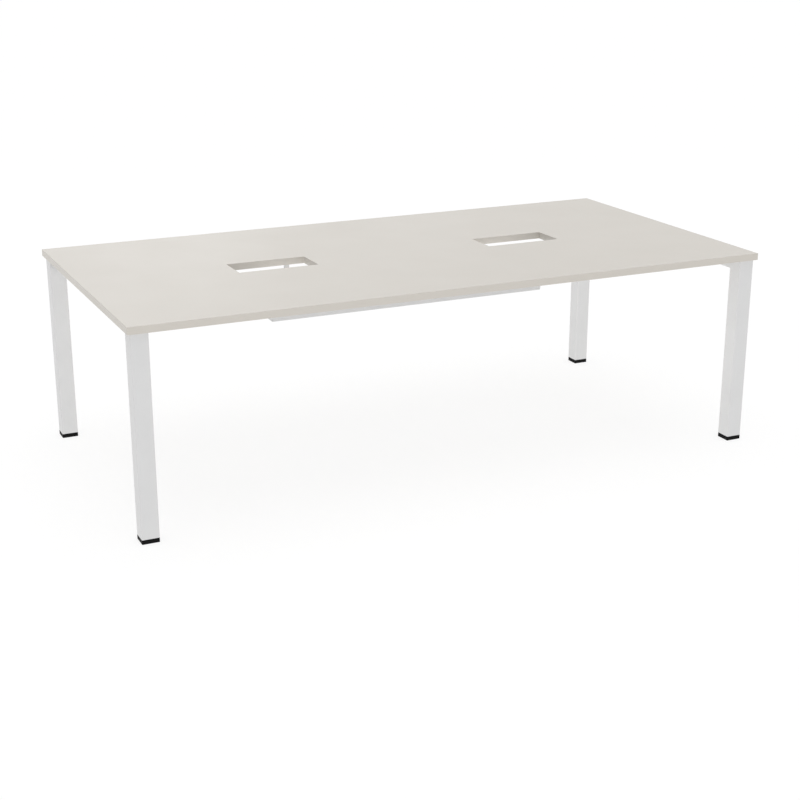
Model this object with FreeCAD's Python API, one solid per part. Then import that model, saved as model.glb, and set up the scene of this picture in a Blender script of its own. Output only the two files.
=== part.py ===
import FreeCAD, Part
import math
import os

# A rectangular meeting table on four square legs, in millimetres.
# +X runs along the table, +Y from the front long edge to the back one, +Z up.
# The origin is on the floor below the middle of the table.

# Table top
table_length = 2400.0
table_width = 1200.0
table_height = 735.0
top_thickness = 25.0
edge_band_thickness = 2.0
edge_round = 1.0

# Cable openings through the top, one towards each end
cutout_length = 300.0
cutout_width = 140.0
cutout_spacing = 1000.0
cutout_corner_radius = 2.0
cutout_edging_thickness = 1.0

# Square legs
leg_section = 60.0
leg_wall = 2.0
leg_corner_radius = 3.0
leg_inset = 11.0

# Plastic cap in the top end of a leg
plug_clearance = 0.1
cap_flange_thickness = 2.0
cap_depth = 15.0
cap_wall = 2.5

# Plastic insert in the lower end of a leg, with its captive nut
insert_flange_thickness = 2.0
insert_depth = 32.0
insert_floor = 4.0
insert_wall = 3.0
insert_rib = 3.0
boss_wall = 3.0
nut_across_flats = 17.0
nut_height = 8.0
nut_clearance = 0.05
nut_face_share = 0.95
nut_chamfer_angle = 30.0

# Levelling foot: a pad that carries the flange of a threaded stem
pad_height = 13.7
pad_gap = 0.3
pad_chamfer = 0.6
pad_floor = 4.0
stem_diameter = 10.0
stem_flange_diameter = 18.0
stem_flange_thickness = 3.0
stem_spare = 14.0
stem_chamfer = 1.0
foot_travel = 10.0
thread_clearance = 0.05
pad_bore_clearance = 0.1
socket_clearance = 0.3
socket_play = 0.1
key_across_flats = 5.0
key_depth = 5.0
key_hole_diameter = 8.0

# End rails between the legs of each end
rail_height = 40.0
rail_width = 30.0
rail_wall = 2.0
rail_corner_radius = 2.0

# Long beams between the end rails, their middle lines set in from the long edges of the top
beam_height = 40.0
beam_width = 30.0
beam_wall = 2.0
beam_corner_radius = 2.0
beam_inset = 300.0

# Bolted joints between beams and end rails
plate_thickness = 4.0
plate_length = 96.0
plate_setback = 1.0
plate_corner_radius = 6.0
bolt_spacing = 66.0
bolt_diameter = 8.0
bolt_length = 20.0
bolt_head_diameter = 14.0
bolt_head_height = 4.4
bolt_key_across_flats = 5.0
bolt_key_depth = 2.8
bolt_end_chamfer = 0.8
bolt_hole_clearance = 0.5
washer_diameter = 16.0
washer_thickness = 1.6
washer_bore_clearance = 0.2
rivet_nut_diameter = 11.0
rivet_nut_length = 16.0
rivet_bulge_diameter = 14.0
rivet_bulge_length = 3.0

# Welded lugs that the top is screwed to
lug_length = 30.0
lug_reach = 24.0
lug_thickness = 4.0
lug_corner_radius = 4.0
beam_lug_count = 4
beam_lug_margin = 170.0
rail_lug_count = 3
rail_lug_margin = 100.0

# Wood screws
screw_diameter = 4.5
screw_length = 20.0
screw_tip = 4.0
screw_head_diameter = 9.0
screw_head_height = 2.6
screw_key_across_flats = 3.5
screw_key_depth = 1.6
screw_hole_clearance = 0.5
pilot_clearance = 0.05
pilot_spare = 1.0

# Cable tray, folded from one sheet, its end walls a little lower than the long ones
tray_length = 1100.0
tray_width = 240.0
tray_drop = 155.0
tray_wall_height = 70.0
tray_sheet = 1.5
tray_lip = 12.0
tray_bend_radius = 1.5
tray_end_drop = 5.0
tray_end_gap = 2.0
slot_length = 40.0
slot_width = 8.0
slot_pitch = 220.0
slot_row_spacing = 120.0
slot_margin = 60.0

# Straps that hang the tray from the top
hanger_width = 20.0
hanger_thickness = 3.0
hanger_bend_radius = 3.0
hanger_flange = 48.0
hanger_overlap = 50.0
hanger_margin = 150.0
hanger_end_radius = 3.0
hanger_screw_spacing = 16.0
tray_bolt_diameter = 6.0
tray_bolt_length = 12.0
tray_bolt_spacing = 24.0
tray_bolt_head_diameter = 10.5
tray_bolt_head_height = 3.3
tray_bolt_key_across_flats = 4.0
tray_bolt_key_depth = 2.0
tray_bolt_clearance = 0.3
tray_nut_across_flats = 10.0
tray_nut_height = 5.0

# Levels and places that follow from the sizes above
underside = table_height - top_thickness
insert_bottom = pad_height + pad_gap
leg_bottom = insert_bottom + insert_flange_thickness
leg_top = underside - cap_flange_thickness
leg_bore = leg_section - 2 * leg_wall
leg_bore_radius = max(leg_corner_radius - leg_wall, 0.0)
plug_section = leg_bore - 2 * plug_clearance
leg_x = table_length / 2 - leg_inset - leg_section / 2
leg_y = table_width / 2 - leg_inset - leg_section / 2
rail_face = leg_x - leg_section / 2 + leg_corner_radius
rail_half = leg_y - leg_section / 2
beam_spacing = table_width - 2 * beam_inset
beam_y = beam_spacing / 2
beam_half = rail_face - plate_thickness
plate_top = underside - lug_thickness - plate_setback
plate_bottom = underside - beam_height + plate_setback
bolt_z = (plate_top + plate_bottom) / 2
tray_bottom = underside - tray_drop
tray_top = tray_bottom + tray_wall_height
hanger_x = tray_length / 2 - hanger_margin
hanger_face = tray_width / 2
lug_bottom = underside - lug_thickness
hanger_flange_bottom = underside - hanger_thickness
hanger_bottom = tray_top - hanger_overlap
tray_bolt_z = tray_top - hanger_overlap / 2

ORIGIN = FreeCAD.Vector(0, 0, 0)
ALONG_X = FreeCAD.Vector(1, 0, 0)
ALONG_Y = FreeCAD.Vector(0, 1, 0)
UP = FreeCAD.Vector(0, 0, 1)
SIDES = {"left": -1, "right": 1}
ROWS = {"front": -1, "back": 1}


def point(plane, a, b, along):
    """A point from its two coordinates in a plane and its place along that plane's normal."""
    if plane == "xy":
        return FreeCAD.Vector(a, b, along)
    if plane == "yz":
        return FreeCAD.Vector(along, a, b)
    return FreeCAD.Vector(a, along, b)


def outline(plane, corners, along):
    """A closed wire through (a, b, radius) corners, each rounded by its radius."""
    spots = [point(plane, a, b, along) for a, b, radius in corners]
    starts = []
    ends = []
    arcs = []
    for i, spot in enumerate(spots):
        radius = corners[i][2]
        back = (spots[i - 1] - spot).normalize()
        ahead = (spots[(i + 1) % len(spots)] - spot).normalize()
        half = back.getAngle(ahead) / 2
        setback = radius / math.tan(half)
        middle = (back + ahead).normalize()
        starts.append(spot + back * setback)
        ends.append(spot + ahead * setback)
        arcs.append(spot + middle * (radius / math.sin(half) - radius))
    edges = []
    for i in range(len(spots)):
        if corners[i][2] > 0:
            edges.append(Part.Arc(starts[i], arcs[i], ends[i]).toShape())
        following = starts[(i + 1) % len(spots)]
        if ends[i].distanceToPoint(following) > Part.Precision.confusion():
            edges.append(Part.LineSegment(ends[i], following).toShape())
    return Part.Wire(edges)


def prism(plane, corners, start, end):
    """A solid of one section: an outline in a plane, carried along the plane's normal."""
    face = Part.Face(outline(plane, corners, start))
    return face.extrude(point(plane, 0, 0, end - start))


def rectangle(width, depth, radius=0.0, centre=(0.0, 0.0)):
    """Corners of a rectangle about a centre, for an outline."""
    a, b = centre
    return [
        (a - width / 2, b - depth / 2, radius),
        (a + width / 2, b - depth / 2, radius),
        (a + width / 2, b + depth / 2, radius),
        (a - width / 2, b + depth / 2, radius),
    ]


def hexagon(across_flats):
    """Corners of a hexagon about the origin, for an outline."""
    reach = across_flats / 2 / math.cos(math.radians(30))
    turns = [math.radians(60 * i) for i in range(6)]
    return [(reach * math.cos(turn), reach * math.sin(turn), 0.0) for turn in turns]


def box(low, high):
    """A box between two opposite corners."""
    return Part.makeBox(high[0] - low[0], high[1] - low[1], high[2] - low[2], FreeCAD.Vector(*low))


def cylinder(diameter, low, high):
    """An upright round bar about the Z axis, between two heights."""
    return Part.makeCylinder(diameter / 2, high - low, FreeCAD.Vector(0, 0, low), UP)


def edges_at(shape, height):
    """The edges of a shape that lie wholly at one height."""
    level = Part.Precision.confusion()
    return [
        edge
        for edge in shape.Edges
        if abs(edge.BoundBox.ZMin - height) < level and abs(edge.BoundBox.ZMax - height) < level
    ]


def moved(shape, x, y, z=0.0):
    """A copy of a shape, carried to a place."""
    return shape.translated(FreeCAD.Vector(x, y, z))


def half_turned(shape):
    """A copy of a shape, turned half round the table's middle."""
    return shape.rotated(ORIGIN, UP, 180)


def spread(half, margin, count):
    """Evenly spaced places along a length, from one end margin to the other."""
    step = 2 * (half - margin) / (count - 1)
    return [margin - half + step * i for i in range(count)]


def save(name, *solids):
    """Write one node, made of one solid or several alike."""
    shape = solids[0] if len(solids) == 1 else Part.makeCompound(list(solids))
    shape.exportStep(f"parts/{name}.step")


# Fasteners, each made about the Z axis with its shank pointing up and its head below height 0


def wood_screw():
    """A pan head screw with a pointed tip."""
    shank = cylinder(screw_diameter, 0, screw_length - screw_tip)
    tip = Part.makeCone(
        screw_diameter / 2, 0, screw_tip, FreeCAD.Vector(0, 0, screw_length - screw_tip), UP
    )
    head = cylinder(screw_head_diameter, -screw_head_height, 0)
    head = head.makeFillet(screw_head_height / 2, edges_at(head, -screw_head_height))
    key_top = screw_key_depth - screw_head_height
    key = prism("xy", hexagon(screw_key_across_flats), -screw_head_height, key_top)
    return shank.fuse([tip, head]).removeSplitter().cut(key)


def machine_bolt(diameter, length, head_diameter, head_height, key_across_flats, key_depth):
    """A button head bolt with a hexagon socket."""
    shank = cylinder(diameter, 0, length)
    shank = shank.makeChamfer(bolt_end_chamfer, edges_at(shank, length))
    head = cylinder(head_diameter, -head_height, 0)
    head = head.makeFillet(head_height / 2, edges_at(head, -head_height))
    key = prism("xy", hexagon(key_across_flats), -head_height, key_depth - head_height)
    return shank.fuse(head).removeSplitter().cut(key)


def washer():
    """A flat ring under a bolt head."""
    bore = cylinder(bolt_diameter + 2 * washer_bore_clearance, 0, washer_thickness)
    return cylinder(washer_diameter, 0, washer_thickness).cut(bore)


def rivet_nut():
    """A threaded sleeve, squeezed out behind the tube wall that it grips."""
    sleeve = cylinder(rivet_nut_diameter, 0, rivet_nut_length)
    bulge = cylinder(rivet_bulge_diameter, rail_wall, rail_wall + rivet_bulge_length)
    bore = cylinder(bolt_diameter + 2 * thread_clearance, 0, rivet_nut_length)
    return sleeve.fuse(bulge).removeSplitter().cut(bore)


def hexagon_nut(across_flats, height, thread_diameter):
    """A nut with the corners of both its faces turned off."""
    face_radius = nut_face_share * across_flats / 2
    far_radius = face_radius + height / math.tan(math.radians(nut_chamfer_angle))
    blank = prism("xy", hexagon(across_flats), 0, height)
    blank = blank.common(Part.makeCone(face_radius, far_radius, height))
    blank = blank.common(Part.makeCone(far_radius, face_radius, height))
    return blank.cut(cylinder(thread_diameter + 2 * thread_clearance, 0, height))


# Places of the fasteners


def lug_places():
    """Middle of each lug: rows of (x, y) on the beams, then on the end rails."""
    beam_row = beam_y + beam_width / 2 + lug_reach / 2
    rail_row = rail_face - lug_reach / 2
    beam_steps = spread(beam_half, beam_lug_margin, beam_lug_count)
    rail_steps = spread(rail_half, rail_lug_margin, rail_lug_count)
    on_beams = [(x, row * beam_row) for row in ROWS.values() for x in beam_steps]
    on_rails = [(side * rail_row, y) for side in SIDES.values() for y in rail_steps]
    return on_beams, on_rails


def hanger_screw_places():
    """Place (x, y) of each screw in the hanger flanges."""
    flat_start = hanger_face + hanger_thickness + hanger_bend_radius
    flat_end = hanger_face + hanger_flange
    middle = (flat_start + flat_end) / 2
    rows = [middle - hanger_screw_spacing / 2, middle + hanger_screw_spacing / 2]
    return [
        (side * hanger_x, end * row) for end in ROWS.values() for row in rows for side in SIDES.values()
    ]


def bolt_places():
    """Place y of each bolt that joins the beams to one end rail."""
    return [row * beam_y + end * bolt_spacing / 2 for row in ROWS.values() for end in (-1, 1)]


# Table top


def cutout_block(growth, low, high):
    """The space of one cable opening, grown sideways, at the right-hand end."""
    corners = rectangle(
        cutout_length + 2 * growth,
        cutout_width + 2 * growth,
        cutout_corner_radius + growth,
        (cutout_spacing / 2, 0.0),
    )
    return prism("xy", corners, low, high)


def top_board():
    """The core board, with both openings and the screws' pilot holes."""
    half_length = table_length / 2 - edge_band_thickness
    half_width = table_width / 2 - edge_band_thickness
    board = box((-half_length, -half_width, underside), (half_length, half_width, table_height))
    opening = cutout_block(cutout_edging_thickness, underside, table_height)
    pilot_diameter = screw_diameter + 2 * pilot_clearance
    lug_pilot = cylinder(pilot_diameter, underside, lug_bottom + screw_length + pilot_spare)
    hanger_pilot = cylinder(pilot_diameter, underside, hanger_flange_bottom + screw_length + pilot_spare)
    on_beams, on_rails = lug_places()
    holes = [moved(lug_pilot, x, y) for x, y in on_beams + on_rails]
    holes += [moved(hanger_pilot, x, y) for x, y in hanger_screw_places()]
    return board.cut([opening, half_turned(opening)] + holes)


def edge_bands():
    """The four strips round the board, with every outer edge eased."""
    half_length = table_length / 2
    half_width = table_width / 2
    inner_length = half_length - edge_band_thickness
    inner_width = half_width - edge_band_thickness
    block = box((-half_length, -half_width, underside), (half_length, half_width, table_height))
    block = block.makeFillet(edge_round, block.Edges)
    front_space = box((-half_length, -half_width, underside), (half_length, -inner_width, table_height))
    left_space = box((-half_length, -inner_width, underside), (-inner_length, inner_width, table_height))
    front = block.common(front_space)
    left = block.common(left_space)
    return {
        "edge_band_front": front,
        "edge_band_back": half_turned(front),
        "edge_band_left": left,
        "edge_band_right": half_turned(left),
    }


def cutout_edging():
    """The strip bent round the inside of the right-hand opening."""
    outside = cutout_block(cutout_edging_thickness, underside, table_height)
    return outside.cut(cutout_block(0.0, underside, table_height))


# Legs and feet, each about its leg's own axis


def leg():
    """A square tube."""
    outside = prism("xy", rectangle(leg_section, leg_section, leg_corner_radius), leg_bottom, leg_top)
    return outside.cut(prism("xy", rectangle(leg_bore, leg_bore, leg_bore_radius), leg_bottom, leg_top))


def leg_cap():
    """The cap that closes a leg below the top: a flange and a hollow plug."""
    flange = prism("xy", rectangle(leg_section, leg_section, leg_corner_radius), leg_top, underside)
    plug_bottom = leg_top - cap_depth
    plug = prism("xy", rectangle(plug_section, plug_section, leg_bore_radius), plug_bottom, leg_top)
    hollow_section = plug_section - 2 * cap_wall
    hollow = prism("xy", rectangle(hollow_section, hollow_section), plug_bottom, leg_top)
    return flange.fuse(plug.cut(hollow)).removeSplitter()


def foot_insert():
    """The insert that closes a leg's lower end and holds the nut in a ribbed boss."""
    insert_top = leg_bottom + insert_depth
    floor_top = leg_bottom + insert_floor
    flange = prism("xy", rectangle(leg_section, leg_section, leg_corner_radius), insert_bottom, leg_bottom)
    plug = prism("xy", rectangle(plug_section, plug_section, leg_bore_radius), leg_bottom, insert_top)
    hollow_section = plug_section - 2 * insert_wall
    hollow = prism("xy", rectangle(hollow_section, hollow_section), floor_top, insert_top)
    nut_reach = nut_across_flats / math.cos(math.radians(30))
    boss = cylinder(nut_reach + 2 * boss_wall, floor_top, insert_top)
    ribs = [
        prism("xy", rectangle(hollow_section, insert_rib), floor_top, insert_top),
        prism("xy", rectangle(insert_rib, hollow_section), floor_top, insert_top),
    ]
    body = flange.fuse([plug.cut(hollow), boss] + ribs).removeSplitter()
    pocket_corners = hexagon(nut_across_flats + 2 * nut_clearance)
    pocket = prism("xy", pocket_corners, insert_bottom, insert_bottom + nut_height)
    bore = cylinder(stem_diameter + 2 * socket_clearance, insert_bottom, insert_top)
    return body.cut([pocket, bore])


def foot_pad():
    """The black pad: a square block with a socket for the stem's flange and a hole for the key."""
    block = prism("xy", rectangle(leg_section, leg_section, leg_corner_radius), 0, pad_height)
    block = block.makeChamfer(pad_chamfer, edges_at(block, 0))
    socket_top = pad_floor + stem_flange_thickness + 2 * socket_play
    socket = cylinder(stem_flange_diameter + 2 * socket_clearance, pad_floor, socket_top)
    bore = cylinder(stem_diameter + 2 * pad_bore_clearance, pad_floor, pad_height)
    key_hole = cylinder(key_hole_diameter, 0, pad_floor)
    return block.cut([socket, bore, key_hole])


def foot_stem():
    """The threaded stem, with the flange that turns in the pad and a key socket below."""
    bottom = pad_floor + socket_play
    top = insert_bottom + nut_height + foot_travel + stem_spare
    shank = cylinder(stem_diameter, bottom, top)
    shank = shank.makeChamfer(stem_chamfer, edges_at(shank, top))
    flange = cylinder(stem_flange_diameter, bottom, bottom + stem_flange_thickness)
    key = prism("xy", hexagon(key_across_flats), bottom, bottom + key_depth)
    return shank.fuse(flange).removeSplitter().cut(key)


# Under-frame


def end_rail():
    """The right-hand end rail, a tube along Y with holes for its rivet nuts."""
    middle = (rail_face + rail_width / 2, underside - rail_height / 2)
    bore_radius = max(rail_corner_radius - rail_wall, 0.0)
    outer = rectangle(rail_width, rail_height, rail_corner_radius, middle)
    inner = rectangle(rail_width - 2 * rail_wall, rail_height - 2 * rail_wall, bore_radius, middle)
    tube = prism("xz", outer, -rail_half, rail_half).cut(prism("xz", inner, -rail_half, rail_half))
    hole_radius = rivet_nut_diameter / 2 + thread_clearance
    holes = [
        Part.makeCylinder(hole_radius, rail_wall, FreeCAD.Vector(rail_face, y, bolt_z), ALONG_X)
        for y in bolt_places()
    ]
    return tube.cut(holes)


def beam():
    """The back beam, a tube along X."""
    middle = (beam_y, underside - beam_height / 2)
    bore_radius = max(beam_corner_radius - beam_wall, 0.0)
    outer = rectangle(beam_width, beam_height, beam_corner_radius, middle)
    inner = rectangle(beam_width - 2 * beam_wall, beam_height - 2 * beam_wall, bore_radius, middle)
    return prism("yz", outer, -beam_half, beam_half).cut(prism("yz", inner, -beam_half, beam_half))


def beam_plate(row):
    """The bolted plate on the right-hand end of the beam in one row."""
    middle = (row * beam_y, bolt_z)
    corners = rectangle(plate_length, plate_top - plate_bottom, plate_corner_radius, middle)
    plate = prism("yz", corners, beam_half, rail_face)
    hole_radius = bolt_diameter / 2 + bolt_hole_clearance
    holes = [
        Part.makeCylinder(
            hole_radius,
            plate_thickness,
            FreeCAD.Vector(beam_half, row * beam_y + end * bolt_spacing / 2, bolt_z),
            ALONG_X,
        )
        for end in (-1, 1)
    ]
    return plate.cut(holes)


def lug(x, y, turn):
    """A flat lug with a screw hole, its welded edge turned from -Y, level with the underside of the top."""
    half = lug_length / 2
    corners = [
        (-half, -lug_reach / 2, 0.0),
        (half, -lug_reach / 2, 0.0),
        (half, lug_reach / 2, lug_corner_radius),
        (-half, lug_reach / 2, lug_corner_radius),
    ]
    plate = prism("xy", corners, lug_bottom, underside)
    plate = plate.cut(cylinder(screw_diameter + 2 * screw_hole_clearance, lug_bottom, underside))
    return moved(plate.rotated(ORIGIN, UP, turn), x, y)


def end_fasteners(shape, start):
    """One fastener at every bolted joint, made along Z and laid along X from a starting face."""
    laid = shape.rotated(ORIGIN, ALONG_Y, 90)
    right = [moved(laid, start, y, bolt_z) for y in bolt_places()]
    return right + [half_turned(one) for one in right]


# Cable tray


def tray_section():
    """Corners of the folded sheet's section: up one wall, over its lip, and back along the inside."""
    half = tray_width / 2
    inner_half = half - tray_sheet
    lip_half = half - tray_lip
    floor = tray_bottom + tray_sheet
    lip_bottom = tray_top - tray_sheet
    outer_radius = tray_bend_radius + tray_sheet
    inner_radius = tray_bend_radius
    return [
        (-half, tray_bottom, outer_radius),
        (half, tray_bottom, outer_radius),
        (half, tray_top, outer_radius),
        (lip_half, tray_top, 0.0),
        (lip_half, lip_bottom, 0.0),
        (inner_half, lip_bottom, inner_radius),
        (inner_half, floor, inner_radius),
        (-inner_half, floor, inner_radius),
        (-inner_half, lip_bottom, inner_radius),
        (-lip_half, lip_bottom, 0.0),
        (-lip_half, tray_top, 0.0),
        (-half, tray_top, outer_radius),
    ]


def tray_bolt_spots():
    """Place (x, z) of each bolt through a wall of the tray."""
    heights = [tray_bolt_z - tray_bolt_spacing / 2, tray_bolt_z + tray_bolt_spacing / 2]
    return [(side * hanger_x, z) for side in SIDES.values() for z in heights]


def tray_end():
    """The right-hand end wall, folded up from the floor, and the flat strip that it replaces."""
    end = tray_length / 2
    start = end - 2 * (tray_bend_radius + tray_sheet)
    half = tray_width / 2 - tray_sheet - tray_end_gap
    floor = tray_bottom + tray_sheet
    end_top = tray_top - tray_end_drop
    corners = [
        (start, tray_bottom, 0.0),
        (end, tray_bottom, tray_bend_radius + tray_sheet),
        (end, end_top, 0.0),
        (end - tray_sheet, end_top, 0.0),
        (end - tray_sheet, floor, tray_bend_radius),
        (start, floor, 0.0),
    ]
    return prism("xz", corners, -half, half), box((start, -half, tray_bottom), (end, half, floor))


def cable_tray():
    """A trough with returned lips, slots for cable ties in its floor and bolt holes in its walls."""
    tray = prism("yz", tray_section(), -tray_length / 2, tray_length / 2)
    folded, flat = tray_end()
    tray = tray.cut([flat, half_turned(flat)]).fuse([folded, half_turned(folded)]).removeSplitter()
    slot_count = 1 + int((tray_length - 2 * slot_margin - slot_length) / slot_pitch)
    first = -(slot_count - 1) * slot_pitch / 2
    steps = [first + i * slot_pitch for i in range(slot_count)]
    middles = [(x, row * slot_row_spacing / 2) for x in steps for row in ROWS.values()]
    slots = [
        prism(
            "xy",
            rectangle(slot_length, slot_width, slot_width / 2, middle),
            tray_bottom,
            tray_bottom + tray_sheet,
        )
        for middle in middles
    ]
    hole_radius = tray_bolt_diameter / 2 + tray_bolt_clearance
    holes = [
        Part.makeCylinder(hole_radius, tray_width, FreeCAD.Vector(x, -tray_width / 2, z), ALONG_Y)
        for x, z in tray_bolt_spots()
    ]
    return tray.cut(slots + holes)


def tray_hanger():
    """The back right strap: down outside the tray's wall, with a flange outwards under the top."""
    outer_radius = hanger_bend_radius + hanger_thickness
    corners = [
        (hanger_face, hanger_bottom, 0.0),
        (hanger_face + hanger_thickness, hanger_bottom, 0.0),
        (hanger_face + hanger_thickness, hanger_flange_bottom, hanger_bend_radius),
        (hanger_face + hanger_flange, hanger_flange_bottom, 0.0),
        (hanger_face + hanger_flange, underside, 0.0),
        (hanger_face, underside, outer_radius),
    ]
    left = hanger_x - hanger_width / 2
    right = hanger_x + hanger_width / 2
    flange_end = hanger_face + hanger_flange
    seen_from_back = [
        (left, hanger_bottom, hanger_end_radius),
        (right, hanger_bottom, hanger_end_radius),
        (right, underside, 0.0),
        (left, underside, 0.0),
    ]
    seen_from_above = [
        (left, hanger_face, 0.0),
        (right, hanger_face, 0.0),
        (right, flange_end, hanger_end_radius),
        (left, flange_end, hanger_end_radius),
    ]
    strap = prism("yz", corners, left, right)
    strap = strap.common(prism("xz", seen_from_back, hanger_face, flange_end))
    strap = strap.common(prism("xy", seen_from_above, hanger_bottom, underside))
    bolt_hole_radius = tray_bolt_diameter / 2 + tray_bolt_clearance
    holes = [
        Part.makeCylinder(bolt_hole_radius, hanger_thickness, FreeCAD.Vector(x, hanger_face, z), ALONG_Y)
        for x, z in tray_bolt_spots()
        if x > 0
    ]
    screw_hole = cylinder(screw_diameter + 2 * screw_hole_clearance, hanger_flange_bottom, underside)
    holes += [moved(screw_hole, x, y) for x, y in hanger_screw_places() if x > 0 and y > 0]
    return strap.cut(holes)


def tray_fasteners(shape, start):
    """One fastener at every tray bolt, made along Z and laid outwards along Y from a starting face."""
    laid = shape.rotated(ORIGIN, ALONG_X, -90)
    back = [moved(laid, x, start, z) for x, z in tray_bolt_spots()]
    return back + [half_turned(one) for one in back]


os.makedirs("parts", exist_ok=True)

# The top
save("top_board", top_board())
for name, band in edge_bands().items():
    save(name, band)
edging = cutout_edging()
save("cutout_edging_right", edging)
save("cutout_edging_left", half_turned(edging))

# The legs with their caps, inserts, nuts and feet
captive_nut = moved(hexagon_nut(nut_across_flats, nut_height, stem_diameter), 0, 0, insert_bottom)
leg_pieces = {
    "leg": leg(),
    "leg_cap": leg_cap(),
    "foot_insert": foot_insert(),
    "foot_nut": captive_nut,
    "foot_pad": foot_pad(),
    "foot_stem": foot_stem(),
}
for row_name, row in ROWS.items():
    for side_name, side in SIDES.items():
        for piece_name, piece in leg_pieces.items():
            save(f"{piece_name}_{row_name}_{side_name}", moved(piece, side * leg_x, row * leg_y))

# The under-frame
right_rail = end_rail()
save("end_rail_right", right_rail)
save("end_rail_left", half_turned(right_rail))
back_beam = beam()
save("beam_back", back_beam)
save("beam_front", half_turned(back_beam))
for row_name, row in ROWS.items():
    save(f"beam_plate_{row_name}_right", beam_plate(row))
    save(f"beam_plate_{row_name}_left", half_turned(beam_plate(-row)))
beam_lug_spots, rail_lug_spots = lug_places()
for row_name, row in ROWS.items():
    outwards = 90 - 90 * row
    save(f"beam_lugs_{row_name}", *[lug(x, y, outwards) for x, y in beam_lug_spots if y * row > 0])
for side_name, side in SIDES.items():
    inwards = 90 * side
    save(f"rail_lugs_{side_name}", *[lug(x, y, inwards) for x, y in rail_lug_spots if x * side > 0])

# The fasteners of the under-frame
frame_bolt = machine_bolt(
    bolt_diameter, bolt_length, bolt_head_diameter, bolt_head_height, bolt_key_across_flats, bolt_key_depth
)
save("rivet_nuts", *end_fasteners(rivet_nut(), rail_face))
save("frame_washers", *end_fasteners(washer(), beam_half - washer_thickness))
save("frame_bolts", *end_fasteners(frame_bolt, beam_half - washer_thickness))
top_screw = moved(wood_screw(), 0, 0, lug_bottom)
save("top_screws", *[moved(top_screw, x, y) for x, y in beam_lug_spots + rail_lug_spots])

# The cable tray, its hangers and their fasteners
save("cable_tray", cable_tray())
back_right_hanger = tray_hanger()
back_left_hanger = moved(back_right_hanger, -2 * hanger_x, 0)
save("tray_hanger_back_right", back_right_hanger)
save("tray_hanger_back_left", back_left_hanger)
save("tray_hanger_front_left", half_turned(back_right_hanger))
save("tray_hanger_front_right", half_turned(back_left_hanger))
hanger_screw = moved(wood_screw(), 0, 0, hanger_flange_bottom)
save("hanger_screws", *[moved(hanger_screw, x, y) for x, y in hanger_screw_places()])
tray_bolt = machine_bolt(
    tray_bolt_diameter,
    tray_bolt_length,
    tray_bolt_head_diameter,
    tray_bolt_head_height,
    tray_bolt_key_across_flats,
    tray_bolt_key_depth,
)
tray_nut = hexagon_nut(tray_nut_across_flats, tray_nut_height, tray_bolt_diameter)
save("tray_bolts", *tray_fasteners(tray_bolt, hanger_face - tray_sheet))
save("tray_nuts", *tray_fasteners(tray_nut, hanger_face + hanger_thickness))
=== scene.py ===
import math

import bmesh
import bpy
from mathutils import Matrix, Vector


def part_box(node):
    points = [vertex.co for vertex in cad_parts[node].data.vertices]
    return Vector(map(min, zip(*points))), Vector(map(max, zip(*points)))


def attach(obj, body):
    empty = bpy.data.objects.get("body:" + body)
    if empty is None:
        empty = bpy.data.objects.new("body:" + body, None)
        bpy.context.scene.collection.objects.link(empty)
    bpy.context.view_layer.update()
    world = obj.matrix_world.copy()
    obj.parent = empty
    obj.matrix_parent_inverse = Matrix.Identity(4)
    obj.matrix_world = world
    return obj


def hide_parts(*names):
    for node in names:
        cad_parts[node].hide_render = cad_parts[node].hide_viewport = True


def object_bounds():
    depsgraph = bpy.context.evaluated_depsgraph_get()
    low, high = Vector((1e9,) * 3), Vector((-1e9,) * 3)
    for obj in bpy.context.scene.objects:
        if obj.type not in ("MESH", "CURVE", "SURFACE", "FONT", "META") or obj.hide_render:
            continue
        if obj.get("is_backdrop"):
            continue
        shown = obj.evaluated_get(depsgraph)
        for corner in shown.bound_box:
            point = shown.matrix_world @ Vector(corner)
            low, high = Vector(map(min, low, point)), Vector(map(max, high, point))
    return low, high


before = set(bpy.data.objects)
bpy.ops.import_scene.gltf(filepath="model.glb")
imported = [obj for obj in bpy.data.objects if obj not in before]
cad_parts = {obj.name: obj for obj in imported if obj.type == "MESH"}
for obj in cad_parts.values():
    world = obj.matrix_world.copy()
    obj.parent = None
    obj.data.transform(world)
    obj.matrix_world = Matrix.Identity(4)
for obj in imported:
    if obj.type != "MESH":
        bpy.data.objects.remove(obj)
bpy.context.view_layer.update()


# Legs: four square steel tubes, saw cut to length and welded to the end rails.
# They are powder coated white after welding, which leaves a fine orange peel on every face.

corners = ["front_left", "front_right", "back_left", "back_right"]


def add_node(tree, kind, values=None, **settings):
    """A shader node with its settings and the values of its unlinked sockets."""
    made = tree.nodes.new("ShaderNode" + kind)
    for name, setting in settings.items():
        setattr(made, name, setting)
    for name, value in (values or {}).items():
        made.inputs[name].default_value = value
    return made


def paint(red, green, blue):
    """A colour chip's 0 to 255 values as the linear colour that a shader takes."""
    chip = [c / 255 for c in (red, green, blue)]
    return [c / 12.92 if c < 0.04045 else ((c + 0.055) / 1.055) ** 2.4 for c in chip] + [1.0]


def new_group(name, inputs, outputs):
    """An empty group for a surface effect, with its input and output nodes."""
    group = bpy.data.node_groups.new(name, "ShaderNodeTree")
    for socket, kind in inputs.items():
        group.interface.new_socket(socket, in_out="INPUT", socket_type="NodeSocket" + kind)
    for socket in outputs:
        group.interface.new_socket(socket, in_out="OUTPUT", socket_type="NodeSocketFloat")
    return group, group.nodes.new("NodeGroupInput"), group.nodes.new("NodeGroupOutput")


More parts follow.
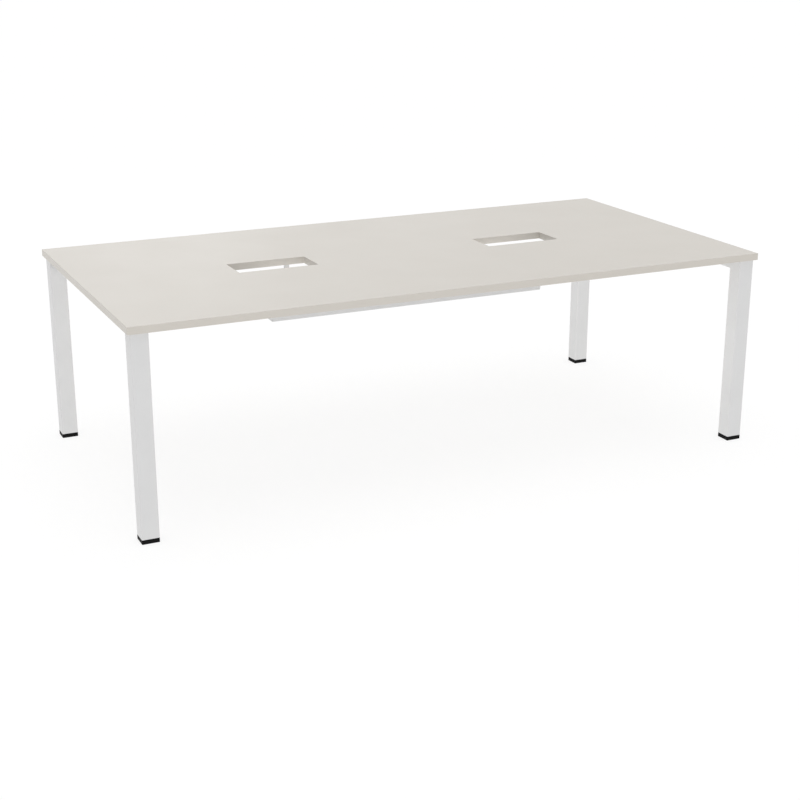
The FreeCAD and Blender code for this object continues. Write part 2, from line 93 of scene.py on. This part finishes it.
surface_grain, given, made = new_group(
    "surface_grain",
    {"Vector": "Vector", "Grains per metre": "Float", "Clouds per metre": "Float"},
    ["Relief", "Tone", "Gloss"],
)
grains = add_node(surface_grain, "TexNoise", {"Detail": 2.0, "Roughness": 0.45})
clouds = add_node(surface_grain, "TexNoise", {"Detail": 4.0, "Roughness": 0.6})
sheen_offset = (3.1, 1.7, 5.3)
aside = add_node(surface_grain, "VectorMath", {1: sheen_offset}, operation="ADD")
sheen = add_node(surface_grain, "TexNoise", {"Detail": 3.0, "Roughness": 0.5})
for texture, rate in (
    (grains, "Grains per metre"),
    (clouds, "Clouds per metre"),
    (sheen, "Clouds per metre"),
):
    surface_grain.links.new(given.outputs[rate], texture.inputs["Scale"])
surface_grain.links.new(given.outputs["Vector"], aside.inputs[0])
surface_grain.links.new(given.outputs["Vector"], grains.inputs["Vector"])
surface_grain.links.new(given.outputs["Vector"], clouds.inputs["Vector"])
surface_grain.links.new(aside.outputs["Vector"], sheen.inputs["Vector"])
surface_grain.links.new(grains.outputs["Fac"], made.inputs["Relief"])
for texture, output in ((clouds, "Tone"), (sheen, "Gloss")):
    widen = add_node(surface_grain, "MapRange", {"From Min": 0.3, "From Max": 0.7})
    surface_grain.links.new(texture.outputs["Fac"], widen.inputs["Value"])
    surface_grain.links.new(widen.outputs["Result"], made.inputs[output])


class Surface:
    """A material whose colour, gloss and relief all vary a little, as on a real made surface."""

    def __init__(self, name, dark, light, roughness, grains, clouds, depth):
        self.material = bpy.data.materials.new(name)
        self.material.use_nodes = True
        self.tree = self.material.node_tree
        self.shader = self.tree.nodes["Principled BSDF"]
        self.place = add_node(self.tree, "TexCoord")
        self.grain = add_node(self.tree, "Group")
        self.grain.node_tree = surface_grain
        self.grain.inputs["Grains per metre"].default_value = grains
        self.grain.inputs["Clouds per metre"].default_value = clouds
        self.shades = add_node(self.tree, "ValToRGB")
        self.shades.color_ramp.elements[0].color = dark
        self.shades.color_ramp.elements[1].color = light
        smoothest, roughest = roughness
        self.gloss = add_node(self.tree, "MapRange", {"To Min": smoothest, "To Max": roughest})
        self.bump = add_node(self.tree, "Bump", {"Strength": 1.0, "Distance": depth})
        self.link(self.place, "Object", self.grain, "Vector")
        self.link(self.grain, "Tone", self.shades, "Fac")
        self.link(self.shades, "Color", self.shader, "Base Color")
        self.link(self.grain, "Gloss", self.gloss, "Value")
        self.link(self.gloss, "Result", self.shader, "Roughness")
        self.link(self.grain, "Relief", self.bump, "Height")
        self.link(self.bump, "Normal", self.shader, "Normal")

    def link(self, source, output, target, socket):
        """Joins an output of one node to a socket of another."""
        self.tree.links.new(source.outputs[output], target.inputs[socket])

    def cover(self, *names):
        """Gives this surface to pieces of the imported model."""
        for name in names:
            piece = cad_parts[name]
            piece.data.materials.clear()
            piece.data.materials.append(self.material)


powder_coat = Surface(
    "white_powder_coat",
    dark=paint(211, 211, 211),
    light=paint(214, 214, 214),
    roughness=(0.34, 0.44),
    grains=520.0,
    clouds=9.0,
    depth=0.00004,
)
powder_coat.cover(*["leg_" + corner for corner in corners])


# Leg caps: white moulded plugs pressed into the top end of each leg.
# A thin flange of the same outline as the tube keeps the steel off the board.

cap_plastic = Surface(
    "white_moulded_plastic",
    dark=paint(205, 205, 203),
    light=paint(210, 210, 208),
    roughness=(0.45, 0.58),
    grains=1500.0,
    clouds=30.0,
    depth=0.00002,
)
cap_plastic.cover(*["leg_cap_" + corner for corner in corners])


# Foot inserts and pads: black moulded nylon, the insert pressed into the leg's lower end
# and the pad carried on the stem below it. The mould's spark-eroded grain takes the shine
# off, and the pad's lower rim is rubbed paler where it has been pushed about the floor.

foot_plastic = Surface(
    "black_moulded_plastic",
    dark=paint(13, 13, 14),
    light=paint(20, 20, 20),
    roughness=(0.5, 0.66),
    grains=1400.0,
    clouds=60.0,
    depth=0.00005,
)
foot_plastic.shader.inputs["IOR"].default_value = 1.4
foot_plastic.shader.inputs["Specular IOR Level"].default_value = 0.1


def add_math(tree, operation, *values):
    """The output of a math step on numbers or on other nodes' outputs."""
    step = add_node(tree, "Math", operation=operation)
    for socket, value in zip(step.inputs, values):
        if isinstance(value, float):
            socket.default_value = value
        else:
            tree.links.new(value, socket)
    return step.outputs["Value"]


def lay_over(surface, mask, colour):
    """Shows a second colour on a surface as far as a mask's output lets it."""
    factor, under, over, mixed = 0, 6, 7, 2
    mix = add_node(surface.tree, "Mix", {over: colour}, data_type="RGBA")
    surface.tree.links.new(mask, mix.inputs[factor])
    surface.link(surface.shades, "Color", mix, under)
    surface.link(mix, mixed, surface.shader, "Base Color")


worn_height = 0.0012
most_wear = 0.3
height = add_node(foot_plastic.tree, "SeparateXYZ")
rim = add_node(
    foot_plastic.tree, "MapRange", {"From Min": worn_height, "From Max": 0.0, "To Max": most_wear}
)
foot_plastic.link(foot_plastic.place, "Object", height, "Vector")
foot_plastic.link(height, "Z", rim, "Value")
rubbed = add_math(
    foot_plastic.tree, "MULTIPLY", rim.outputs["Result"], foot_plastic.grain.outputs["Gloss"]
)
lay_over(foot_plastic, rubbed, paint(92, 90, 88))
for corner in corners:
    foot_plastic.cover("foot_insert_" + corner, "foot_pad_" + corner)


# Captive nuts and levelling stems: zinc plated steel. The nut sits in the insert's pocket,
# and the stem's flange turns in the pad. Its 10 mm thread is rolled, 1.5 mm to the turn,
# and a hexagon socket in the flange takes the key from below.

zinc = Surface(
    "zinc_plated_steel",
    dark=(0.50, 0.52, 0.55, 1.0),
    light=(0.68, 0.68, 0.67, 1.0),
    roughness=(0.26, 0.42),
    grains=2600.0,
    clouds=150.0,
    depth=0.000015,
)
zinc.shader.inputs["Metallic"].default_value = 1.0
zinc.cover(*["foot_nut_" + corner for corner in corners])

sharp_angle = math.radians(35)


def new_piece(name, shape, surface, body):
    """Makes a finished mesh a piece of the object, shaded smooth but for its sharp edges."""
    bmesh.ops.recalc_face_normals(shape, faces=shape.faces)
    for face in shape.faces:
        face.smooth = True
    for edge in shape.edges:
        edge.smooth = edge.is_manifold and edge.calc_face_angle(0.0) < sharp_angle
    mesh = bpy.data.meshes.new(name)
    shape.to_mesh(mesh)
    shape.free()
    mesh.materials.append(surface.material)
    piece = bpy.data.objects.new(name, mesh)
    bpy.context.scene.collection.objects.link(piece)
    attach(piece, body)
    return piece


def pick(parts, kind):
    """The vertices, edges or faces among the parts that a mesh operation gives back."""
    return [part for part in parts if isinstance(part, kind)]


def ring_edges(ring):
    """The edges of a ring of vertices, each one once and always in the same order."""
    return list(dict.fromkeys(edge for vert in ring for edge in vert.link_edges))


thread_pitch = 0.0015
root_radius = 0.0041
crest_radius = 0.0049
thread_profile = [
    (root_radius, 0.0),
    (root_radius, 0.00019),
    (crest_radius, 0.00066),
    (crest_radius, 0.00084),
    (root_radius, 0.00131),
    (root_radius, thread_pitch),
]
turn_steps = 20
spare_turns = 2
merge_distance = 0.00001
flange_radius = 0.009
flange_thickness = 0.003
flange_sides = 40
socket_sides = 6
socket_half_width = 0.0025
socket_reach = socket_half_width / math.cos(math.pi / socket_sides)
socket_depth = 0.005

for corner in corners:
    low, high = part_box("foot_stem_" + corner)
    axis = Vector(((low.x + high.x) / 2, (low.y + high.y) / 2, 0.0))
    shoulder = low.z + flange_thickness
    turns = math.ceil((high.z - shoulder) / thread_pitch) + spare_turns
    stem = bmesh.new()
    start = shoulder - thread_pitch
    points = [stem.verts.new((radius, 0.0, start + rise)) for radius, rise in thread_profile]
    ridge = [stem.edges.new(pair) for pair in zip(points, points[1:])]
    bmesh.ops.spin(
        stem,
        geom=points + ridge,
        axis=(0, 0, 1),
        cent=(0, 0, 0),
        dvec=(0, 0, thread_pitch / turn_steps),
        angle=2 * math.pi * turns,
        steps=turn_steps * turns,
    )
    bmesh.ops.remove_doubles(stem, verts=stem.verts, dist=merge_distance)
    ends = []
    for level, outwards in ((shoulder, -1), (high.z, 1)):
        cut = bmesh.ops.bisect_plane(
            stem,
            geom=stem.verts[:] + stem.edges[:] + stem.faces[:],
            plane_co=(0, 0, level),
            plane_no=(0, 0, outwards),
            clear_outer=True,
        )
        ends.append(pick(cut["geom_cut"], bmesh.types.BMEdge))
    bmesh.ops.edgeloop_fill(stem, edges=ends[1])
    lower = Matrix.Translation((0, 0, low.z))
    rim, socket = [
        ring_edges(
            bmesh.ops.create_circle(stem, segments=sides, radius=radius, matrix=lower)["verts"]
        )
        for sides, radius in ((flange_sides, flange_radius), (socket_sides, socket_reach))
    ]
    bmesh.ops.bridge_loops(stem, edges=rim + socket)
    raised_rings = []
    for ring, rise in ((socket, socket_depth), (rim, flange_thickness)):
        raised = bmesh.ops.extrude_edge_only(stem, edges=ring)["geom"]
        bmesh.ops.translate(stem, verts=pick(raised, bmesh.types.BMVert), vec=(0, 0, rise))
        raised_rings.append(pick(raised, bmesh.types.BMEdge))
    bmesh.ops.edgeloop_fill(stem, edges=raised_rings[0])
    bmesh.ops.bridge_loops(stem, edges=raised_rings[1] + ends[0])
    bmesh.ops.translate(stem, verts=stem.verts, vec=axis)
    threaded = new_piece("levelling_stem_" + corner, stem, zinc, "stem_" + corner)
    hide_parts("foot_stem_" + corner)


# End rails: steel tubes set between the legs of each end and welded to them.
# Each joint has a fillet weld below the rail and one on its outer side, under the same coat.

weld_size = 0.003
weld_sink = 0.1
weld_crown = 0.45
weld_arc = [0.2, 0.5, 0.8]
weld_ripple = 0.0021
ripple_steps = 4
ripple_height = 0.06
end_size = 0.55
end_growth = 9.0


def add_weld(shape, start, end, first_face, second_face):
    """A rippled fillet of weld metal along a seam, lying on the two faces that lead from it."""
    along = (end - start).normalized()
    length = (end - start).length
    first = weld_size * first_face
    second = weld_size * second_face
    sunk = -weld_sink * (first + second)
    crown = [
        first.lerp(second, t) + weld_crown * t * (1 - t) * (first + second) for t in weld_arc
    ]
    ring = [shape.verts.new(start + spot) for spot in [sunk, first] + crown + [second]]
    face = shape.faces.new(ring)
    steps = ripple_steps * round(length / weld_ripple)
    size = 1.0
    for step in range(1, steps + 1):
        place = step / steps
        ripple = 1.0 + ripple_height * math.cos(2 * math.pi * step / ripple_steps)
        swell = min(1.0, end_size + end_growth * min(place, 1.0 - place))
        carried = bmesh.ops.extrude_face_region(shape, geom=[face])["geom"]
        shape.faces.remove(face)
        face = pick(carried, bmesh.types.BMFace)[0]
        middle = start + along * (length * (step - 1) / steps)
        bmesh.ops.scale(
            shape,
            verts=face.verts,
            vec=Vector((1, 1, 1)) * (ripple * swell / size),
            space=Matrix.Translation(-middle),
        )
        bmesh.ops.translate(shape, verts=face.verts, vec=along * (length / steps))
        size = ripple * swell


powder_coat.cover("end_rail_left", "end_rail_right")
for side, sign in (("left", -1), ("right", 1)):
    rail_low, rail_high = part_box("end_rail_" + side)
    inner_x, outer_x = (rail_low.x, rail_high.x) if sign > 0 else (rail_high.x, rail_low.x)
    beads = bmesh.new()
    for end_y, inwards in ((rail_low.y, 1), (rail_high.y, -1)):
        to_rail = Vector((0, inwards, 0))
        bottom = rail_low.z
        add_weld(
            beads,
            Vector((inner_x, end_y, bottom)),
            Vector((outer_x, end_y, bottom)),
            Vector((0, 0, -1)),
            to_rail,
        )
        add_weld(
            beads,
            Vector((outer_x, end_y, bottom)),
            Vector((outer_x, end_y, rail_high.z - weld_size / 2)),
            Vector((sign, 0, 0)),
            to_rail,
        )
    new_piece("end_rail_welds_" + side, beads, powder_coat, "table")


# Beams: two steel tubes along the table with a flat plate welded across each end.
# The plates are bolted to the end rails, and a fillet runs up both sides of every tube end.

powder_coat.cover("beam_front", "beam_back")
powder_coat.cover(*["beam_plate_" + corner for corner in corners])
for row in ("front", "back"):
    beam_low, beam_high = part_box("beam_" + row)
    beads = bmesh.new()
    for side, sign, end_x in (("left", -1, beam_low.x), ("right", 1, beam_high.x)):
        plate_low, plate_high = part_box("beam_plate_" + row + "_" + side)
        for face_y, outwards in ((beam_low.y, -1), (beam_high.y, 1)):
            add_weld(
                beads,
                Vector((end_x, face_y, plate_low.z + weld_size / 2)),
                Vector((end_x, face_y, plate_high.z - weld_size / 2)),
                Vector((0, outwards, 0)),
                Vector((-sign, 0, 0)),
            )
    new_piece("beam_welds_" + row, beads, powder_coat, "table")


# Fixing lugs: flat steel tabs welded along their lower edge to the beams and the end rails.
# The board is screwed down to them from below.

least_gap = 0.05
powder_coat.cover("beam_lugs_front", "beam_lugs_back", "rail_lugs_left", "rail_lugs_right")


def lug_spans(name, axis):
    """Where each lug of a row starts and ends along the tube that it is welded to."""
    places = sorted({round(vert.co[axis], 5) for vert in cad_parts[name].data.vertices})
    breaks = [i for i in range(1, len(places)) if places[i] - places[i - 1] > least_gap]
    starts = [0] + breaks
    ends = breaks + [len(places)]
    return [(places[a], places[b - 1]) for a, b in zip(starts, ends)]


for row, outwards in (("front", -1), ("back", 1)):
    lug_low, lug_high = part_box("beam_lugs_" + row)
    seam_y = lug_high.y if outwards < 0 else lug_low.y
    beads = bmesh.new()
    for first_x, last_x in lug_spans("beam_lugs_" + row, 0):
        add_weld(
            beads,
            Vector((first_x, seam_y, lug_low.z)),
            Vector((last_x, seam_y, lug_low.z)),
            Vector((0, outwards, 0)),
            Vector((0, 0, -1)),
        )
    new_piece("beam_lug_welds_" + row, beads, powder_coat, "table")
for side, inwards in (("left", 1), ("right", -1)):
    lug_low, lug_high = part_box("rail_lugs_" + side)
    seam_x = lug_low.x if inwards > 0 else lug_high.x
    beads = bmesh.new()
    for first_y, last_y in lug_spans("rail_lugs_" + side, 1):
        add_weld(
            beads,
            Vector((seam_x, first_y, lug_low.z)),
            Vector((seam_x, last_y, lug_low.z)),
            Vector((inwards, 0, 0)),
            Vector((0, 0, -1)),
        )
    new_piece("rail_lug_welds_" + side, beads, powder_coat, "table")


# Rivet nuts, washers and bolts: zinc plated steel. The nuts are squeezed into holes in the
# rails, and button head bolts hold the beam plates to them.

zinc.cover("rivet_nuts", "frame_washers", "frame_bolts")


# Top board: one chipboard panel faced on both sides with greige melamine, pressed against
# a plate that leaves a fine matt pearl in the surface. A hair line of glue shows all round,
# where the edge bands and the openings' edging meet the facing.

melamine = Surface(
    "greige_melamine",
    dark=paint(210, 205, 197),
    light=paint(212, 207, 199),
    roughness=(0.37, 0.41),
    grains=2400.0,
    clouds=5.0,
    depth=0.000008,
)
joint_line, given, made = new_group(
    "joint_line",
    {
        "Vector": "Vector",
        "Middle": "Float",
        "Half length": "Float",
        "Half width": "Float",
        "Line": "Float",
    },
    ["Mask"],
)
spot = add_node(joint_line, "SeparateXYZ")
joint_line.links.new(given.outputs["Vector"], spot.inputs["Vector"])
from_centre = add_math(joint_line, "ABSOLUTE", spot.outputs["X"])
shifted = add_math(joint_line, "SUBTRACT", from_centre, given.outputs["Middle"])
along = add_math(joint_line, "ABSOLUTE", shifted)
across = add_math(joint_line, "ABSOLUTE", spot.outputs["Y"])
past_end = add_math(joint_line, "SUBTRACT", along, given.outputs["Half length"])
past_side = add_math(joint_line, "SUBTRACT", across, given.outputs["Half width"])
outside = add_math(joint_line, "MAXIMUM", past_end, past_side)
distance = add_math(joint_line, "ABSOLUTE", outside)
within = add_math(joint_line, "LESS_THAN", distance, given.outputs["Line"])
joint_line.links.new(within, made.inputs["Mask"])

glue_half_width = 0.00018
board_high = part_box("top_board")[1]
edging_low, edging_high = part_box("cutout_edging_right")
glue_lines = []
for middle, reach in (
    (0.0, board_high),
    ((edging_low.x + edging_high.x) / 2, (edging_high - edging_low) / 2),
):
    line = add_node(melamine.tree, "Group")
    line.node_tree = joint_line
    line.inputs["Middle"].default_value = middle
    line.inputs["Half length"].default_value = reach.x
    line.inputs["Half width"].default_value = reach.y
    line.inputs["Line"].default_value = glue_half_width
    melamine.link(melamine.place, "Object", line, "Vector")
    glue_lines.append(line.outputs["Mask"])
glue = add_math(melamine.tree, "MAXIMUM", *glue_lines)
lay_over(melamine, glue, paint(168, 160, 148))
melamine.cover("top_board")


# Edge bands and opening edging: extruded plastic strip in the board's colour, glued on hot,
# trimmed flush and eased to a small radius. Fine lines from the extruder run along the strip.

edging = Surface(
    "greige_edging",
    dark=paint(199, 194, 186),
    light=paint(201, 196, 188),
    roughness=(0.32, 0.42),
    grains=1800.0,
    clouds=12.0,
    depth=0.00001,
)
extruder_lines = (2.0, 2.0, 1100.0)
line_relief = 0.6
strip = add_node(edging.tree, "Mapping", {"Scale": extruder_lines})
drawn = add_node(edging.tree, "TexNoise", {"Scale": 1.0, "Detail": 3.0, "Roughness": 0.5})
edging.link(edging.place, "Object", strip, "Vector")
edging.link(strip, "Vector", drawn, "Vector")
relief = add_math(
    edging.tree, "MULTIPLY_ADD", drawn.outputs["Fac"], line_relief, edging.grain.outputs["Relief"]
)
edging.tree.links.new(relief, edging.bump.inputs["Height"])
edging.cover("edge_band_front", "edge_band_back", "edge_band_left", "edge_band_right")
edging.cover("cutout_edging_left", "cutout_edging_right")


# Wood screws: zinc plated steel, driven up from below through the fixing lugs.
# They bite into the chipboard and hold the top down on the frame.

zinc.cover("top_screws")


# Cable tray and hangers: a trough folded from one steel sheet, with returned lips, low end
# walls and slots for cable ties, hung from the board on four bent straps. The straps are
# powder coated as the frame is, and the tray's coat is a little finer and glossier. The tray's
# white is painted a few levels darker than the frame's, as painted shade from the board above.

# Painted shade: this coat is the frame's white set a few levels darker, for the shade under the
# board.
shaded_tray_coat = Surface(
    "white_tray_coat",
    dark=paint(207, 207, 207),
    light=paint(210, 210, 210),
    roughness=(0.3, 0.4),
    grains=700.0,
    clouds=14.0,
    depth=0.00003,
)
shaded_tray_coat.cover("cable_tray")
powder_coat.cover(*["tray_hanger_" + corner for corner in corners])


# Tray fasteners: zinc plated screws hold the straps to the board, and bolts with nuts
# hold the tray's walls to the straps.

zinc.cover("hanger_screws", "tray_bolts", "tray_nuts")


# Floor: a plain white sheet that runs into a white surround. What the camera sees of it is
# white, less a part of the shadow that the table throws. It is clear to the light that falls
# on the table, so the table stands as if in a white tent.

floor_reach = 90.0
floor_shade = 0.2
floor_glow = 0.822
floor_shape = bmesh.new()
bmesh.ops.create_grid(floor_shape, x_segments=1, y_segments=1, size=floor_reach)
floor_mesh = bpy.data.meshes.new("floor")
floor_shape.to_mesh(floor_mesh)
floor_shape.free()
floor = bpy.data.objects.new("floor", floor_mesh)
bpy.context.scene.collection.objects.link(floor)
floor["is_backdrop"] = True


def add_background_mask(tree):
    """1 for the rays that show the background: seen, mirrored or let through."""
    path = add_node(tree, "LightPath").outputs
    bent = add_math(tree, "MAXIMUM", path["Is Glossy Ray"], path["Is Transmission Ray"])
    return add_math(tree, "MAXIMUM", path["Is Camera Ray"], bent)


floor_paint = bpy.data.materials.new("floor_paint")
floor_paint.use_nodes = True
tree = floor_paint.node_tree
tree.nodes.remove(tree.nodes["Principled BSDF"])
shade = add_node(tree, "BsdfDiffuse", {"Color": (floor_shade, floor_shade, floor_shade, 1.0)})
white = add_node(tree, "Emission", {"Color": (1.0, 1.0, 1.0, 1.0), "Strength": floor_glow})
seen = add_node(tree, "AddShader")
clear = add_node(tree, "BsdfTransparent")
facing = add_node(tree, "NewGeometry")
either = add_node(tree, "MixShader")
above = add_math(tree, "SUBTRACT", 1.0, facing.outputs["Backfacing"])
opaque = add_math(tree, "MULTIPLY", above, add_background_mask(tree))
tree.links.new(shade.outputs[0], seen.inputs[0])
tree.links.new(white.outputs[0], seen.inputs[1])
tree.links.new(opaque, either.inputs[0])
tree.links.new(clear.outputs[0], either.inputs[1])
tree.links.new(seen.outputs[0], either.inputs[2])
tree.links.new(either.outputs[0], tree.nodes["Material Output"].inputs["Surface"])
floor_mesh.materials.append(floor_paint)


# Light: a white surround, brighter below the horizon as off a white floor, and broad light from
# above. Low fills reach in under the top, small ones light the legs' inner sides and the walls
# of the openings, and two softboxes behind give the top a sheen that fades to the right.

surround_above = 0.587
surround_below = 1.0
horizon_blur = 0.15
world = bpy.data.worlds.new("surround")
world.use_nodes = True
bpy.context.scene.world = world
tree = world.node_tree
direction = add_node(tree, "TexCoord")
height = add_node(tree, "SeparateXYZ")
lighting = add_node(
    tree,
    "MapRange",
    {
        "From Min": -horizon_blur,
        "From Max": horizon_blur,
        "To Min": surround_below,
        "To Max": surround_above,
    },
)
level = add_node(tree, "MapRange", {"To Max": 1.0})
tree.links.new(direction.outputs["Generated"], height.inputs["Vector"])
tree.links.new(height.outputs["Z"], lighting.inputs["Value"])
tree.links.new(lighting.outputs["Result"], level.inputs["To Min"])
tree.links.new(add_background_mask(tree), level.inputs["Value"])
backdrop = tree.nodes["Background"]
backdrop.inputs["Color"].default_value = (1.0, 1.0, 1.0, 1.0)
tree.links.new(level.outputs["Result"], backdrop.inputs["Strength"])


def add_softbox(name, place, target, size, power):
    """A soft rectangular lamp that the camera doesn't see."""
    lamp = bpy.data.lights.new(name, "AREA")
    lamp.shape = "RECTANGLE"
    lamp.size, lamp.size_y = size
    lamp.energy = power
    box = bpy.data.objects.new(name, lamp)
    box.location = place
    box.rotation_euler = (Vector(target) - Vector(place)).to_track_quat("-Z", "Y").to_euler()
    box.visible_camera = False
    bpy.context.scene.collection.objects.link(box)
    return box


overhead_level = 1.0
overhead_spread = math.radians(60.0)
overhead = bpy.data.lights.new("overhead_light", "SUN")
overhead.energy = overhead_level
overhead.angle = overhead_spread
bpy.context.scene.collection.objects.link(bpy.data.objects.new("overhead_light", overhead))
add_softbox(
    "low_front_fill",
    place=(0.0, -9.0, 0.5),
    target=(0.0, 0.0, 0.5),
    size=(8.0, 0.9),
    power=131.0,
)
add_softbox(
    "low_left_fill",
    place=(-10.0, 0.0, 0.5),
    target=(0.0, 0.0, 0.5),
    size=(6.0, 0.9),
    power=75.0,
)
add_softbox(
    "back_softbox_left",
    place=(0.1, 5.6, 2.4),
    target=(-0.6, 0.0, 0.735),
    size=(2.6, 1.6),
    power=7.0,
)
add_softbox(
    "back_softbox_right",
    place=(1.6, 5.6, 2.1),
    target=(0.0, 0.0, 0.735),
    size=(3.0, 1.6),
    power=3.5,
)
for side, sign in (("left", -1), ("right", 1)):
    add_softbox(
        "opening_fill_" + side,
        place=(sign * 0.43, 0.0, 0.64),
        target=(sign * 0.43, 0.07, 0.7),
        size=(0.2, 0.05),
        power=0.09,
    )
floor_alone = bpy.data.collections.new("floor_alone")
floor_alone.objects.link(floor)
floor_alone.collection_objects[0].light_linking.link_state = "EXCLUDE"
for side, sign, power in (("right", 1, 1.05), ("left", -1, 0.8)):
    under_fill = add_softbox(
        "under_fill_" + side,
        place=(sign * 0.62, 0.0, 0.27),
        target=(sign * 1.2, 0.0, 0.27),
        size=(0.9, 0.5),
        power=power,
    )
    under_fill.light_linking.receiver_collection = floor_alone


# Camera: it stands off the front left corner, a little above the table, and looks down on it
# through a lens somewhat longer than normal.

look_down = math.radians(18.544)
look_right = math.radians(25.111)
camera = bpy.data.cameras.new("camera")
camera.lens = 66.79
camera.sensor_width = 36.0
viewpoint = bpy.data.objects.new("camera", camera)
viewpoint.location = (-2.3036, -4.9336, 1.9742)
viewpoint.rotation_euler = (math.radians(90.0) - look_down, 0.0, -look_right)
bpy.context.scene.collection.objects.link(viewpoint)
bpy.context.scene.camera = viewpoint
bpy.context.scene.view_settings.view_transform = "Standard"

low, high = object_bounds()
